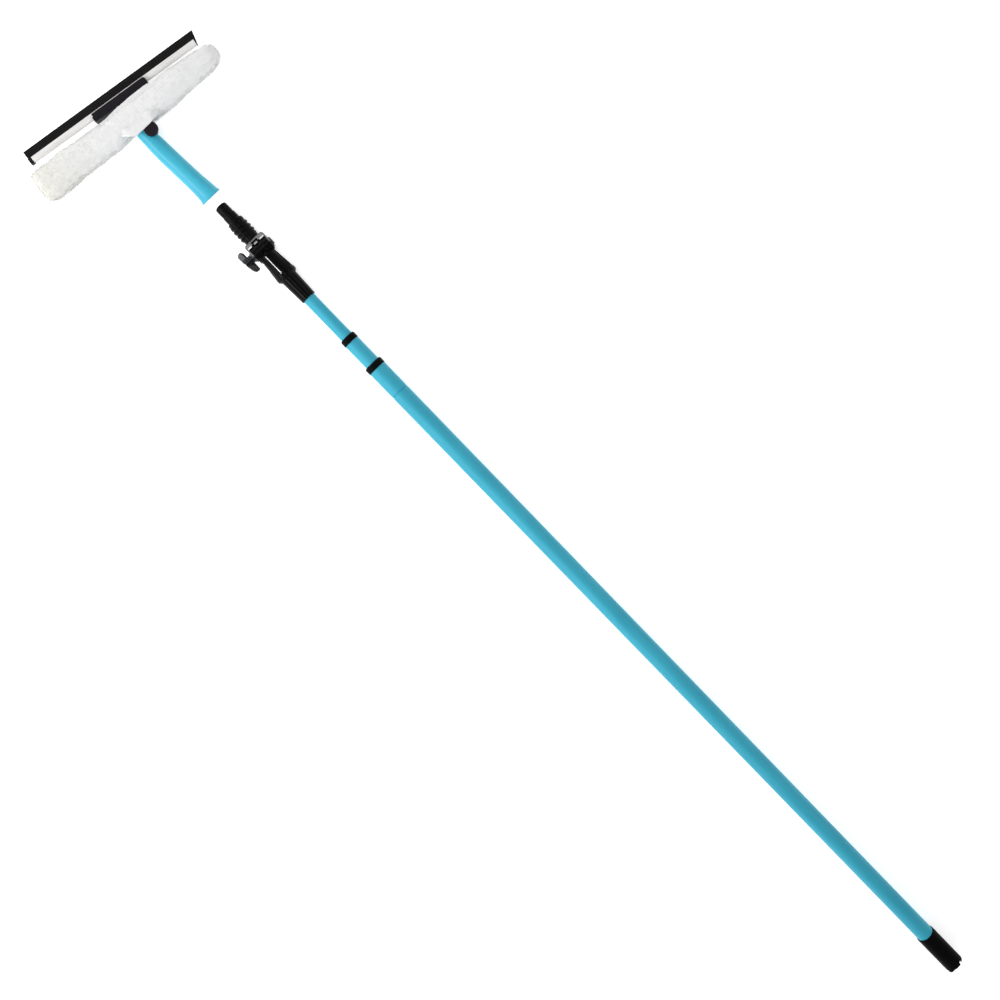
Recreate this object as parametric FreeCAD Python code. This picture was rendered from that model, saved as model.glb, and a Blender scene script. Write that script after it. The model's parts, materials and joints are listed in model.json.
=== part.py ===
import FreeCAD, Part
import math
import os

# Telescopic window cleaning pole with a washer-and-squeegee head, lying flat.
# All sizes are millimetres. The working frame has its origin on the pole's axis at the butt,
# +X from the butt towards the head, +Z up. A name that ends in _X, _Y, _Z, _U or _V is a
# place on that axis, and _R, _T and _D are a radius, a thickness and a diameter.
# make_all() moves everything to the floor frame.

V = FreeCAD.Vector
X_AXIS = V(1, 0, 0)
Y_AXIS = V(0, 1, 0)
Z_AXIS = V(0, 0, 1)

# ---- pole tubes -------------------------------------------------------------------------
MAIN_D = 33.5
MIDDLE_D = 28.0
INNER_D = 23.0
TUBE_WALL = 1.3
MAIN_END = 1569.5          # front end of the thick tube
MIDDLE_END = 1632.5
INNER_END = 1782.0
MAIN_START = 8.0
MIDDLE_START = 130.0
INNER_START = 250.0
BEAD_BACK = 56.0           # rolled bead, this far behind the tube's front end
BEAD_WIDTH = 2.6
BEAD_DEPTH = 1.1
MIDDLE_BEAD_BACK = 55.0

# ---- end collars (guide bushes) ---------------------------------------------------------
RUNNING_GAP = 0.05
COLLAR_LENGTH = 12.0
COLLAR_STEP = 0.9          # how far a collar stands proud of its own tube, in radius
COLLAR_BEVEL = (2.2, 1.32)  # along the pole and in radius
SPIGOT_LENGTH = 50.0

# ---- butt cap ---------------------------------------------------------------------------
CAP_LENGTH = 86.0
CAP_R = 18.6
CAP_EDGE = 1.0
PLUG_R = 16.4
PLUG_END = 40.0
PLUG_WALL = 2.5
TAB_X = (-9.4, 0.0)
TAB_Y = (-8.2, 17.6)
TAB_HALF_Z = 4.0
SLOT_Y = (-11.4, -8.2)     # slot in the cap's end beside the tab
SLOT_DEPTH = 5.0
TAB_CORNER = 6.0
HANG_HOLE_R = 3.0
HANG_HOLE = V(-4.6, 4.3, 0)

# ---- twist lock -------------------------------------------------------------------------
CONE_GAP = 0.06            # between the locked cone and its sleeve
LOCK_GRIP_GAP = 0.08       # between the sleeve and the tube that it grips
LOCK_SLEEVE = (46.0, 8.0)  # from the inner tube's end back to the sleeve's two ends
LOCK_WIDE_WALL = 2.2       # sleeve wall at its open end
LOCK_NARROW_WALL = 5.0     # sleeve wall at the taper's other end
LOCK_TAPER = 23.0          # length of the cone
LOCK_SCREW_PART = 0.32     # screw radius as a part of the bore that holds it
LOCK_SCREW_BACK = 56.0
LOCK_SCREW_HEAD = (4.0, 2.0)   # thickness, and how far it stands out in radius
LOCK_SCREW_IN = 20.0       # how deep the screw sits in its plug
LOCK_PLUG = (6.0, 34.0)    # flange outside the tube, spigot inside
LOCK_FLANGE_LIP = 0.9
LOCK_RING = (9.8, 7.2)     # drag ring, back from the sleeve's front end
LOCK_RING_GROOVE = 1.2
LOCK_RING_PLAY = 0.2       # groove wider than the ring, each side
LOCK_SLIT = 2.0
LOCK_SLIT_STOP = 12.0      # the slit ends this far behind the sleeve's front end

# ---- angle adapter ----------------------------------------------------------------------
FERRULE_START = 1736.5
FERRULE_LIP = (1.0, 13.6, 14.0)    # length of the rounded edge, its radius and the next
FERRULE_END_R = 15.6       # where the ferrule meets the flare
FERRULE_SCREW_BACK = 22.0  # from the ferrule's end to its screw
FERRULE_SCREW_R = 2.0
FERRULE_HEAD_R = 3.4
FERRULE_HEAD_T = 1.2
FERRULE_SCREW_LENGTH = 6.2
FERRULE_SCREW_TOP = 14.4   # from the axis to the shoulder under the screw's head
FLARE_X = 1789.0
FLARE_R = 20.2             # also the height of the pole's axis over the floor
FLARE_FLAT = (1.0, 3.0)    # the widest part, from and to, after FLARE_X
NECK_X = 1837.0
NECK_R = 14.6
NECK_END = (4.0, 12.0)     # length and radius of the neck's rounded end
NECK_HALF_Z = 9.0
NECK_LOW_Y = -9.5
PANEL_FLOOR = (5.6, 14.2)  # inner corner of the hollows between the ribs, from the axis
PANEL_X = (8.0, 3.0)       # from the flare to a hollow, and from the hollow to the neck
RIB_X = (5.0, 1.0)         # from the flare to a rib, and from the rib to the neck
RIB_Y = (3.6, 5.2)
RIB_ROOT = 10.0
RIB_TOP = 19.2             # height of a rib over the axis where it leaves the flare
RIB_SLOPE = 5.0            # degrees, falling towards the neck
BOLT_X = 1850.0
KNUCKLE_R = 14.0
KNUCKLE_Y = (-18.5, 17.5)
KNUCKLE_RING_R = 16.3
KNUCKLE_RINGS_Y = ((-9.0, -3.5), (3.5, 9.0))
YOKE_T = 2.4
YOKE_GAP = 0.15
YOKE_BEND = 5.0
YOKE_FACE_X = 1871.0
YOKE_HALF_Z = 11.0
RIVET_R = 5.0
RIVET_DEPTH = 22.0         # how far the rivet reaches into the tip
RIVET_HEAD = (2.2, 5.4, 8.0)   # height, then radius at its top and at its foot
BOLT_R = 4.0
BOLT_HEAD_R = 7.5
BOLT_HEAD_T = 3.0
BOLT_HEAD_ROUND = 1.8
COLLAR_X = 1872.5          # end of the bevel of the tip's plain collar
COLLAR_R = (13.0, 14.2)    # radius at the yoke and after the bevel
THREAD_START = 1877.5
THREAD_PITCH = 8.4
THREAD_R = 15.2
RIDGE_R = 16.4
# distances along one pitch at which the ridge starts, reaches its top, leaves it and ends
RIDGE_STEPS = (1.0, 2.6, 4.0, 5.6)
SHOULDER_X = 1915.5
SHOULDER_LEAD = 3.0
SHOULDER_R = 12.5
TIP_END = 1949.5
TIP_R1 = 11.9              # step next to the shoulder
TIP_R2 = 11.1              # step at the end
TIP_GROOVE = (1929.5, 1931.5)
TIP_GROOVE_R = 10.3
NOSE_R = 3.4

# ---- wing nut ---------------------------------------------------------------------------
WING_HUB_R = 7.8
WING_HUB_LENGTH = 16.5
WING_T = 6.0
WING_TWIST = 24.0          # degrees each wing is turned about the pole's direction
WING_MIDDLE_Y = 10.5
WING_EDGE = 1.4
# x ahead of the bolt and y outward from the washer, round each wing
FRONT_WING = [(2.0, 6.2), (17.0, 6.4), (21.0, 9.0), (21.2, 13.6), (17.5, 18.2), (2.0, 17.8)]
REAR_WING = [(-2.0, 4.6), (-9.0, 3.0), (-21.0, 3.2), (-22.2, 6.0), (-21.4, 11.2),
             (-15.8, 14.8), (-2.0, 17.2)]
WASHER_R = 9.0
WASHER_T = 1.8
NUT_GAP = 0.02
NUT_BORE = 11.0            # depth of the thread in the nut
BOLT_STICKS_OUT = 9.5      # how far the bolt reaches past the yoke's leg

# ---- handle -----------------------------------------------------------------------------
MOUTH_X = 1969.0
HANDLE_END = 2122.0
SOCKET_MOUTH_R = 16.0
SOCKET_MOUTH_DEPTH = 8.0
SOCKET_R = 12.3
SOCKET_DEPTH = 46.0
# x, low edge y, high edge y and half height of the handle's cross-sections
HANDLE_SECTIONS = [
    (1969.0, -20.4, 20.8, 19.4),
    (1973.5, -18.2, 18.7, 18.2),
    (1984.0, -17.3, 17.5, 17.4),
    (2005.0, -15.0, 17.3, 16.2),
    (2038.0, -13.0, 18.6, 15.6),
    (2070.0, -11.3, 19.9, 15.0),
    (2100.0, -10.0, 20.0, 14.2),
    (2122.0, -9.6, 19.4, 13.4),
]
MOUTH_HALF_Y = 20.6
MOUTH_HOLLOW = 1.0         # how far the middle of the mouth's end is set back
MOUTH_SLANT = 12.5         # degrees, so that the top of the mouth reaches further forward
MOUTH_FRONT = 1963.5
MOUTH_LEAD = (17.4, 1971.0)    # radius of the lead-in at the front, and where it ends
HANDLE_SLICES = 24         # cross-sections lofted, closest together at the mouth
FORK_GAP = 4.3             # half height of the slot for the swivel hub
FORK_BACK = 13.0           # how far the slot runs behind the pivot

# ---- head (its own frame: origin at the pivot, u across the blade, v along it) ----------
PIVOT = V(2112.2, -7.0, 0)
HEAD_TURN = -7.7           # degrees about +Z, from square to the pole
BOSS_R = 5.5
PIN_R = 3.0
PIN_TOP = 6.4
PIN_HEAD_R = 5.0
PIN_HEAD_Z = (9.0, 13.0)   # shoulder and outer face of the head, below the axis
BUTTON_R = 11.9
BUTTON_BASE = 13.8
BUTTON_TOP = 20.0
BUTTON_ROUND = 1.6
BUTTON_CLEARANCE = 0.5     # between the button and the recess that it sinks into
BUTTON_SEAT = 11.6         # floor of that recess
SPRING_SEAT = 8.0
SPRING_R = 5.0
SPRING_CLEARANCE = 1.0
SPRING_WIRE = 0.9
SPRING_TURNS = 4
STEM_END = 9.4
HUB_R = 7.6
HUB_HALF_Z = 4.0
FORK_WASHER_R = 7.0
FORK_WASHER_T = 0.2
BAR_U = (28.0, 47.0)
BAR_V = (-137.0, 184.0)
BAR_HALF_Z = 6.0
BAR_ROUND = 3.0
BAR_CAP = 8.0
BAR_CAP_ROUND = 5.5
WATER_SLOT = (8.0, 20.0)   # size of a slot across and along the bar
WATER_SLOT_PITCH = 32.0
WATER_SLOT_ENDS = (22.0, 14.0)     # first slot's middle from one end, last from the other
WATER_SLOT_FREE = 38.0     # no slot is closer to the middle of the screws than this
SLEEVE_U = (12.4, 61.4)
SLEEVE_V = (-165.0, 206.4)
# distance from an end of the sleeve and the part of its full section there
SLEEVE_ENDS = ((0.0, 0.45), (4.0, 0.74), (13.0, 0.94), (28.0, 1.0))
SLEEVE_CAVITY = (8.5, 0.5, 9.0, 7.0)   # near side, far side, ends and half height
CLIP_V = (-42.2, 65.8)
CLIP_U = (63.5, 77.6)
CLIP_HALF_Z = 8.5
CLIP_ARM_V = 15.0          # half width of the arm
CLIP_ROUND = 4.0
CLIP_STEP = (9.0, 2.2)     # small step beside the jaws, its size across and along
SCREW_V = (1.3, 22.3)
SCREW_R = 2.0
SCREW_HEAD_R = 3.9
SCREW_HEAD_T = 3.0
SCREW_TIP_U = 59.0
SCREW_CLEARANCE = 0.1
HUB_PLATE_T = 4.0
HUB_PLATE_SIDE = 8.0       # plate beyond the screws
HUB_POCKET = (4.5, 4.2)    # depth and radius of the pocket for a screw's head in the arm
MIDDLE_V = (SCREW_V[0] + SCREW_V[1]) / 2
CHANNEL_U = (70.5, 80.0)
CHANNEL_V = (-145.4, 189.6)
CHANNEL_HALF_Z = 4.4
CHANNEL_WALL = 0.8
CHANNEL_LIP = 1.3          # half the opening between the lips
CHANNEL_CORNER = 1.2
CHANNEL_GROOVE = (2.0, 3.2, 0.4)   # from, to and depth of the fine groove along the top
RUBBER_V = (-153.1, 195.4)
RUBBER_EDGE_U = 94.6
RUBBER_MIDDLE_U = 89.0
RUBBER_HALF_Z = (1.9, 1.5, 0.95)   # half thickness at the root, the middle and the edge
RUBBER_NECK_Z = 1.2
BEAD_HALF_Z = 3.2
LIP_CLEARANCE = 0.4        # between the channel's lips and the blade
END_BLOCK_T = (4.2, 6.4)   # thickness of the two end blocks along v
END_BLOCK_LAP = (1.0, 0.2) # how far they stand past the channel, near side and far side
RUBBER_ROOT_V = -149.4     # where the slanted end of the rubber leaves the channel
SLIDE_GAP = 0.1

TUBES = {
    "main": (MAIN_D, MAIN_START, MAIN_END, BEAD_BACK),
    "middle": (MIDDLE_D, MIDDLE_START, MIDDLE_END, MIDDLE_BEAD_BACK),
    "inner": (INNER_D, INNER_START, INNER_END, None),
}


# ---- small shape helpers ----------------------------------------------------------------
def rod(x0, x1, radius, y=0.0, z=0.0):
    """Cylinder along X."""
    return Part.makeCylinder(radius, x1 - x0, V(x0, y, z), X_AXIS)


def tube(x0, x1, outer, inner):
    return rod(x0, x1, outer).cut(rod(x0 - 1, x1 + 1, inner))


def block(xs, ys, zs):
    """Box from three (low, high) pairs."""
    corner = V(xs[0], ys[0], zs[0])
    return Part.makeBox(xs[1] - xs[0], ys[1] - ys[0], zs[1] - zs[0], corner)


def spin(points):
    """Solid of revolution about X from (x, radius) points; the outline is closed for us."""
    corners = [V(x, radius, 0) for x, radius in points]
    outline = Part.makePolygon(corners + [corners[0]])
    return Part.Face(outline).revolve(V(0, 0, 0), X_AXIS, 360)


def bore_of(name):
    return TUBES[name][0] / 2 - TUBE_WALL


def head_place(shape):
    """From the head's own frame to the pole's frame."""
    placed = shape.copy()
    placed.rotate(V(0, 0, 0), Z_AXIS, HEAD_TURN)
    placed.translate(PIVOT)
    return placed


def stands_up(edge):
    """True for an edge that runs along Z."""
    return abs(edge.Vertexes[0].Z - edge.Vertexes[-1].Z) > 1


def fillet_where(shape, radius, wanted):
    """Round the edges for which wanted(edge) is true."""
    edges = [edge for edge in shape.Edges if wanted(edge)]
    return shape.makeFillet(radius, edges)


# ---- pole -------------------------------------------------------------------------------
def bead_arc(x, radius, depth):
    """Points of a shallow round groove in a tube wall, from low x to high x."""
    steps = 8
    points = []
    for i in range(steps + 1):
        part = i / steps
        dip = depth * math.sin(math.pi * part)
        points.append((x - BEAD_WIDTH / 2 + BEAD_WIDTH * part, radius - dip))
    return points


def pole_tube(name):
    diameter, start, end, bead_back = TUBES[name]
    outer = diameter / 2
    inner = outer - TUBE_WALL
    outside = [(start, outer)]
    inside = [(start, inner)]
    if bead_back:
        outside += bead_arc(end - bead_back, outer, BEAD_DEPTH)
        inside += bead_arc(end - bead_back, inner, BEAD_DEPTH)
    outside.append((end, outer))
    inside.append((end, inner))
    return spin(outside + inside[::-1])


def collar(name, inner_name):
    """Guide bush: a flange that caps the tube's end and a spigot inside it."""
    end = TUBES[name][2]
    flange_r = TUBES[name][0] / 2 + COLLAR_STEP
    hole_r = TUBES[inner_name][0] / 2 + RUNNING_GAP
    front = end + COLLAR_LENGTH
    return spin([
        (end - SPIGOT_LENGTH, hole_r),
        (end - SPIGOT_LENGTH, bore_of(name)),
        (end, bore_of(name)),
        (end, flange_r),
        (front - COLLAR_BEVEL[0], flange_r),
        (front, flange_r - COLLAR_BEVEL[1]),
        (front, hole_r),
    ])


def butt_cap():
    """Grip sleeve pushed over the butt of the thick tube, with a seat for the plug."""
    return spin([
        (0, CAP_R - CAP_EDGE),
        (CAP_EDGE, CAP_R),
        (CAP_LENGTH - CAP_EDGE, CAP_R),
        (CAP_LENGTH, CAP_R - CAP_EDGE),
        (CAP_LENGTH, MAIN_D / 2),
        (MAIN_START, MAIN_D / 2),
        (MAIN_START, PLUG_R),
        (0, PLUG_R),
    ]).cut(end_slot())


def end_slot():
    """Slot across the butt's end, beside the hanging tab."""
    return block((-1, SLOT_DEPTH), SLOT_Y, (-CAP_R, CAP_R))


def butt_plug():
    """Plug inside the butt of the tube, with a flat hanging tab that has a hole."""
    plug = rod(0, MAIN_START, PLUG_R).cut(end_slot())
    spigot = tube(MAIN_START, PLUG_END, bore_of("main"), bore_of("main") - PLUG_WALL)
    tab = block(TAB_X, TAB_Y, (-TAB_HALF_Z, TAB_HALF_Z))
    tab = fillet_where(tab, TAB_CORNER, lambda e: stands_up(e) and e.Vertexes[0].X < TAB_X[0] + 1)
    hole = Part.makeCylinder(HANG_HOLE_R, 20, HANG_HOLE - V(0, 0, 10), Z_AXIS)
    return plug.fuse(spigot).fuse(tab).cut(hole).removeSplitter()


# ---- twist locks ------------------------------------------------------------------------
class TwistLock:
    """Expander at the bottom end of a tube, working against the bore of the tube round it."""

    def __init__(self, name, outer_name):
        self.start = TUBES[name][1]
        self.tube_bore = bore_of(name)
        self.grip_r = bore_of(outer_name) - LOCK_GRIP_GAP
        self.screw_r = self.tube_bore * LOCK_SCREW_PART
        self.back = self.start - LOCK_SLEEVE[0]
        self.front = self.start - LOCK_SLEEVE[1]
        self.wide_r = self.grip_r - LOCK_WIDE_WALL
        self.narrow_r = self.grip_r - LOCK_NARROW_WALL

    def plug(self):
        """Pressed into the tube's end, it carries the screw."""
        flange = rod(self.start - LOCK_PLUG[0], self.start, self.tube_bore + LOCK_FLANGE_LIP)
        spigot = rod(self.start, self.start + LOCK_PLUG[1], self.tube_bore)
        hole = rod(self.start - LOCK_PLUG[0] - 1, self.start + LOCK_SCREW_IN, self.screw_r)
        return flange.fuse(spigot).cut(hole).removeSplitter()

    def screw(self):
        head_front = self.start - LOCK_SCREW_BACK
        thick, lip = LOCK_SCREW_HEAD
        shank = rod(head_front, self.start + LOCK_SCREW_IN, self.screw_r)
        head = rod(head_front - thick, head_front, self.screw_r + lip)
        return shank.fuse(head).removeSplitter()

    def cone(self):
        """Conical nut; it draws out of the sleeve as the tube is turned to free it."""
        wide_x = self.back + 1
        narrow_x = wide_x + LOCK_TAPER
        return spin([
            (wide_x, self.screw_r + RUNNING_GAP),
            (wide_x, self.wide_r - CONE_GAP),
            (narrow_x, self.narrow_r - CONE_GAP),
            (narrow_x, self.screw_r + RUNNING_GAP),
        ])

    def sleeve(self):
        """Split expander sleeve with a taper inside and a groove for the drag ring."""
        taper = (self.wide_r - self.narrow_r) / LOCK_TAPER
        taper_run = LOCK_TAPER + 4
        groove_back = self.front - LOCK_RING[0] - LOCK_RING_PLAY
        groove_front = self.front - LOCK_RING[1] + LOCK_RING_PLAY
        groove_r = self.grip_r - LOCK_RING_GROOVE
        body = spin([
            (self.back, self.wide_r + taper),
            (self.back, self.grip_r),
            (groove_back, self.grip_r),
            (groove_back, groove_r),
            (groove_front, groove_r),
            (groove_front, self.grip_r),
            (self.front, self.grip_r),
            (self.front, self.screw_r + RUNNING_GAP),
            (self.back + taper_run, self.screw_r + RUNNING_GAP),
            (self.back + taper_run, self.wide_r - taper * (taper_run - 1)),
        ])
        slit = block((self.back - 1, self.front - LOCK_SLIT_STOP),
                     (-LOCK_SLIT / 2, LOCK_SLIT / 2), (0, self.grip_r + 2))
        return body.cut(slit)

    def ring(self):
        """Rubber drag ring that keeps the sleeve from turning with the screw."""
        return tube(self.front - LOCK_RING[0], self.front - LOCK_RING[1],
                    self.grip_r + 0.03, self.grip_r - LOCK_RING_GROOVE)


# ---- angle adapter ----------------------------------------------------------------------
def knuckle_barrel(radius, ys):
    return Part.makeCylinder(radius, ys[1] - ys[0], V(BOLT_X, ys[0], 0), Y_AXIS)


def adapter_body():
    """Ferrule on the thin tube, flared and ribbed cone, and the knuckle barrel."""
    inner_r = INNER_D / 2
    body = spin([
        (FERRULE_START, inner_r),
        (FERRULE_START, FERRULE_LIP[1]),
        (FERRULE_START + FERRULE_LIP[0], FERRULE_LIP[2]),
        (FLARE_X - 5, FERRULE_END_R),
        (FLARE_X - 0.5, FLARE_R - 0.4),
        (FLARE_X + FLARE_FLAT[0], FLARE_R),
        (FLARE_X + FLARE_FLAT[1], FLARE_R),
        (NECK_X, NECK_R),
        (NECK_X + NECK_END[0], NECK_END[1]),
        (NECK_X + NECK_END[0], 0),
        (INNER_END, 0),
        (INNER_END, inner_r),
    ])
    rib_start = FLARE_X + RIB_X[0]
    for quarter in range(4):
        panel = block((FLARE_X + PANEL_X[0], NECK_X - PANEL_X[1]),
                      (PANEL_FLOOR[0], 2 * FLARE_R), (PANEL_FLOOR[1], 2 * FLARE_R))
        panel.rotate(V(0, 0, 0), X_AXIS, 90 * quarter)
        rib = block((rib_start, NECK_X - RIB_X[1]), RIB_Y, (RIB_ROOT, RIB_TOP))
        rib.rotate(V(rib_start, 0, RIB_TOP), Y_AXIS, RIB_SLOPE)
        rib.rotate(V(0, 0, 0), X_AXIS, 90 * quarter)
        body = body.cut(panel).fuse(rib)
    neck = block((NECK_X - 3, BOLT_X), (NECK_LOW_Y, KNUCKLE_Y[1]), (-NECK_HALF_Z, NECK_HALF_Z))
    body = body.fuse(neck).fuse(knuckle_barrel(KNUCKLE_R, KNUCKLE_Y))
    for ys in KNUCKLE_RINGS_Y:
        body = body.fuse(knuckle_barrel(KNUCKLE_RING_R, ys))
    body = body.cut(knuckle_barrel(BOLT_R + RUNNING_GAP, (-30, 30)))
    return body.removeSplitter()


def ferrule_bore(radius, depth0, depth1):
    """Cylinder that points down out of the ferrule, between two distances from the axis."""
    start = V(FERRULE_START + FERRULE_SCREW_BACK, 0, -depth0)
    return Part.makeCylinder(radius, depth1 - depth0, start, -Z_AXIS)


def ferrule_screw():
    """Sunk screw through the ferrule's underside and the thin tube."""
    shank = ferrule_bore(FERRULE_SCREW_R, FERRULE_SCREW_TOP - FERRULE_SCREW_LENGTH,
                         FERRULE_SCREW_TOP)
    head = ferrule_bore(FERRULE_HEAD_R, FERRULE_SCREW_TOP, FERRULE_SCREW_TOP + FERRULE_HEAD_T)
    return shank.fuse(head).removeSplitter()


def ferrule_screw_hole():
    shank = ferrule_bore(FERRULE_SCREW_R, 0, FERRULE_SCREW_TOP)
    return shank.fuse(ferrule_bore(FERRULE_HEAD_R, FERRULE_SCREW_TOP, FLARE_R))


def yoke_legs():
    """Outer y of the yoke's two legs."""
    return KNUCKLE_Y[0] - YOKE_GAP - YOKE_T, KNUCKLE_Y[1] + YOKE_GAP + YOKE_T


def yoke():
    """Steel U-bracket round the knuckle; the screw tip is fixed on its web."""
    low, high = yoke_legs()
    outer = block((BOLT_X, YOKE_FACE_X), (low, high), (-YOKE_HALF_Z, YOKE_HALF_Z))
    outer = fillet_where(outer, YOKE_BEND, lambda e: stands_up(e)
                         and e.Vertexes[0].X > YOKE_FACE_X - 1)
    rounds = knuckle_barrel(YOKE_HALF_Z, (low, high))
    room = block((BOLT_X - 30, YOKE_FACE_X - YOKE_T),
                 (low + YOKE_T, high - YOKE_T), (-30, 30))
    room = fillet_where(room, YOKE_BEND - YOKE_T, lambda e: stands_up(e)
                        and e.Vertexes[0].X > BOLT_X)
    body = outer.fuse(rounds).cut(room)
    body = body.cut(knuckle_barrel(BOLT_R, (-40, 40)))
    web_hole = rod(YOKE_FACE_X - 10, YOKE_FACE_X + 10, RIVET_R)
    return body.cut(web_hole).removeSplitter()


def yoke_rivet():
    """Rivet that clinches the tip to the yoke's web."""
    web_x = YOKE_FACE_X - YOKE_T
    height, top_r, foot_r = RIVET_HEAD
    shank = rod(web_x, YOKE_FACE_X + RIVET_DEPTH, RIVET_R)
    head = spin([(web_x - height, 0), (web_x - height, top_r), (web_x, foot_r), (web_x, 0)])
    return shank.fuse(head).removeSplitter()


def screw_tip():
    """Tapered tip with a coarse screw thread behind its shoulder."""
    outline = [(YOKE_FACE_X, RIVET_R), (YOKE_FACE_X, COLLAR_R[0]), (COLLAR_X, COLLAR_R[1]),
               (THREAD_START, COLLAR_R[1])]
    radii = (THREAD_R, RIDGE_R, RIDGE_R, THREAD_R)
    ridges = int((SHOULDER_X - THREAD_START) / THREAD_PITCH)
    for i in range(ridges):
        x = THREAD_START + i * THREAD_PITCH
        outline += [(x + step, radius) for step, radius in zip(RIDGE_STEPS, radii)]
    outline += [(SHOULDER_X - SHOULDER_LEAD, THREAD_R), (SHOULDER_X, SHOULDER_R),
                (SHOULDER_X, TIP_R1), (TIP_GROOVE[0], TIP_R1), (TIP_GROOVE[0], TIP_GROOVE_R),
                (TIP_GROOVE[1], TIP_GROOVE_R), (TIP_GROOVE[1], TIP_R2)]
    steps = 6
    for i in range(steps + 1):
        angle = math.pi / 2 * i / steps
        outline.append((TIP_END - NOSE_R + NOSE_R * math.sin(angle),
                        TIP_R2 - NOSE_R + NOSE_R * math.cos(angle)))
    hole_end = YOKE_FACE_X + RIVET_DEPTH
    outline += [(TIP_END, 0), (hole_end, 0), (hole_end, RIVET_R)]
    return spin(outline)


def hinge_bolt():
    """Carriage bolt through the yoke and the knuckle."""
    low, high = yoke_legs()
    shank = knuckle_barrel(BOLT_R, (low, high + BOLT_STICKS_OUT))
    top = low - BOLT_HEAD_T
    head = knuckle_barrel(BOLT_HEAD_R, (top, low))
    head = fillet_where(head, BOLT_HEAD_ROUND, lambda e: abs(e.CenterOfMass.y - top) < 0.1)
    return shank.fuse(head).removeSplitter()


def clamp_washer():
    high = yoke_legs()[1]
    ring = knuckle_barrel(WASHER_R, (high, high + WASHER_T))
    return ring.cut(knuckle_barrel(BOLT_R + RUNNING_GAP, (0, 2 * high)))


def wing(outline, twist):
    """One flat wing with rounded edges, turned about a line along X through its middle."""
    corners = [V(x, y, -WING_T / 2) for x, y in outline]
    plate = Part.Face(Part.makePolygon(corners + [corners[0]])).extrude(V(0, 0, WING_T))
    root_x = abs(outline[0][0])
    plate = fillet_where(plate, WING_EDGE, lambda e: abs(e.CenterOfMass.x) > root_x + 0.1)
    plate.rotate(V(0, WING_MIDDLE_Y, 0), X_AXIS, twist)
    return plate


def wing_nut():
    """Wing nut: round hub and two wings twisted opposite ways like a propeller's."""
    base = yoke_legs()[1] + WASHER_T + NUT_GAP
    hub = knuckle_barrel(WING_HUB_R, (base, base + WING_HUB_LENGTH))
    wings = wing(FRONT_WING, -WING_TWIST).fuse(wing(REAR_WING, WING_TWIST))
    wings.translate(V(BOLT_X, base, 0))
    body = hub.fuse(wings).removeSplitter()
    return body.cut(knuckle_barrel(BOLT_R + RUNNING_GAP, (0, base + NUT_BORE)))


# ---- handle -----------------------------------------------------------------------------
def profile_wire(x, low, high, half_z, steps=24):
    """Closed smooth oval through evenly turned points, always starting at the +Y side."""
    centre_y = (high + low) / 2
    half_y = (high - low) / 2
    points = []
    for i in range(steps):
        angle = 2 * math.pi * i / steps
        points.append(V(x, centre_y + half_y * math.cos(angle), half_z * math.sin(angle)))
    curve = Part.BSplineCurve()
    curve.interpolate(points, PeriodicFlag=True)
    return Part.Wire(curve.toShape())


def section_at(x):
    """Low edge, high edge and half height of the handle at x, smooth between the stations."""
    last = len(HANDLE_SECTIONS) - 1
    i = 0
    while i < last - 1 and x > HANDLE_SECTIONS[i + 1][0]:
        i += 1
    start, end = HANDLE_SECTIONS[i], HANDLE_SECTIONS[i + 1]
    before, after = HANDLE_SECTIONS[max(i - 1, 0)], HANDLE_SECTIONS[min(i + 2, last)]
    run = end[0] - start[0]
    part = (x - start[0]) / run
    values = []
    for k in (1, 2, 3):
        slope0 = run * (end[k] - before[k]) / (end[0] - before[0])
        slope1 = run * (after[k] - start[k]) / (after[0] - start[0])
        values.append((2 * part ** 3 - 3 * part ** 2 + 1) * start[k]
                      + (part ** 3 - 2 * part ** 2 + part) * slope0
                      + (3 * part ** 2 - 2 * part ** 3) * end[k]
                      + (part ** 3 - part ** 2) * slope1)
    return values


def pivot_post(radius, z0, z1):
    return Part.makeCylinder(radius, z1 - z0, V(PIVOT.x, PIVOT.y, z0), Z_AXIS)


def mouth_waste():
    """What is left off in front of the mouth's slanted, slightly hollow end."""
    hollow_r = (MOUTH_HALF_Y ** 2 + MOUTH_HOLLOW ** 2) / (2 * MOUTH_HOLLOW)
    waste = Part.makeCylinder(hollow_r, 120, V(MOUTH_X + MOUTH_HOLLOW - hollow_r, 0, -60), Z_AXIS)
    waste.rotate(V(MOUTH_X, 0, 0), Y_AXIS, -MOUTH_SLANT)
    return waste


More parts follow.
